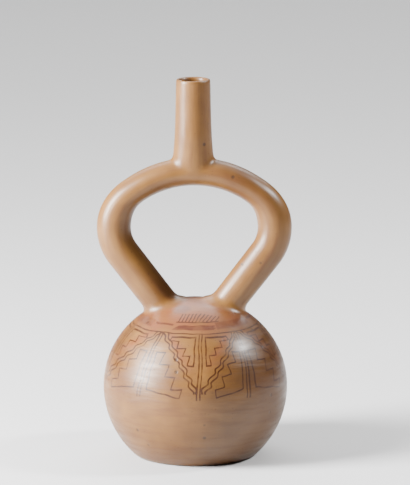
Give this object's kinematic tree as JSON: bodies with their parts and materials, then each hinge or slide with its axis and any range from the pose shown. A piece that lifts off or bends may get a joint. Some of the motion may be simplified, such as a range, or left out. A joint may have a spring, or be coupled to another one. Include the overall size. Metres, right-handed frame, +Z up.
{
  "type": "stirrup spout vessel",
  "caption": "Globular burnished clay bottle with a flat base, a hollow stirrup handle over its top and one straight tubular spout; painted fine-line geometric band.",
  "frame": {"origin": "centre of the flat base, on the surface the vessel stands on", "axes": "+Z up along the body's axis and the spout, X along the stirrup's plane from leg to leg, -Y the side the vessel is shown from"},
  "size_m": [0.1378, 0.1312, 0.27],
  "materials": {
    "fired_clay": "burnished cream slip with dark red line painting, satin"
  },
  "bodies": {
    "root": {"vessel": "fired_clay"}
  },
  "joints": []
}
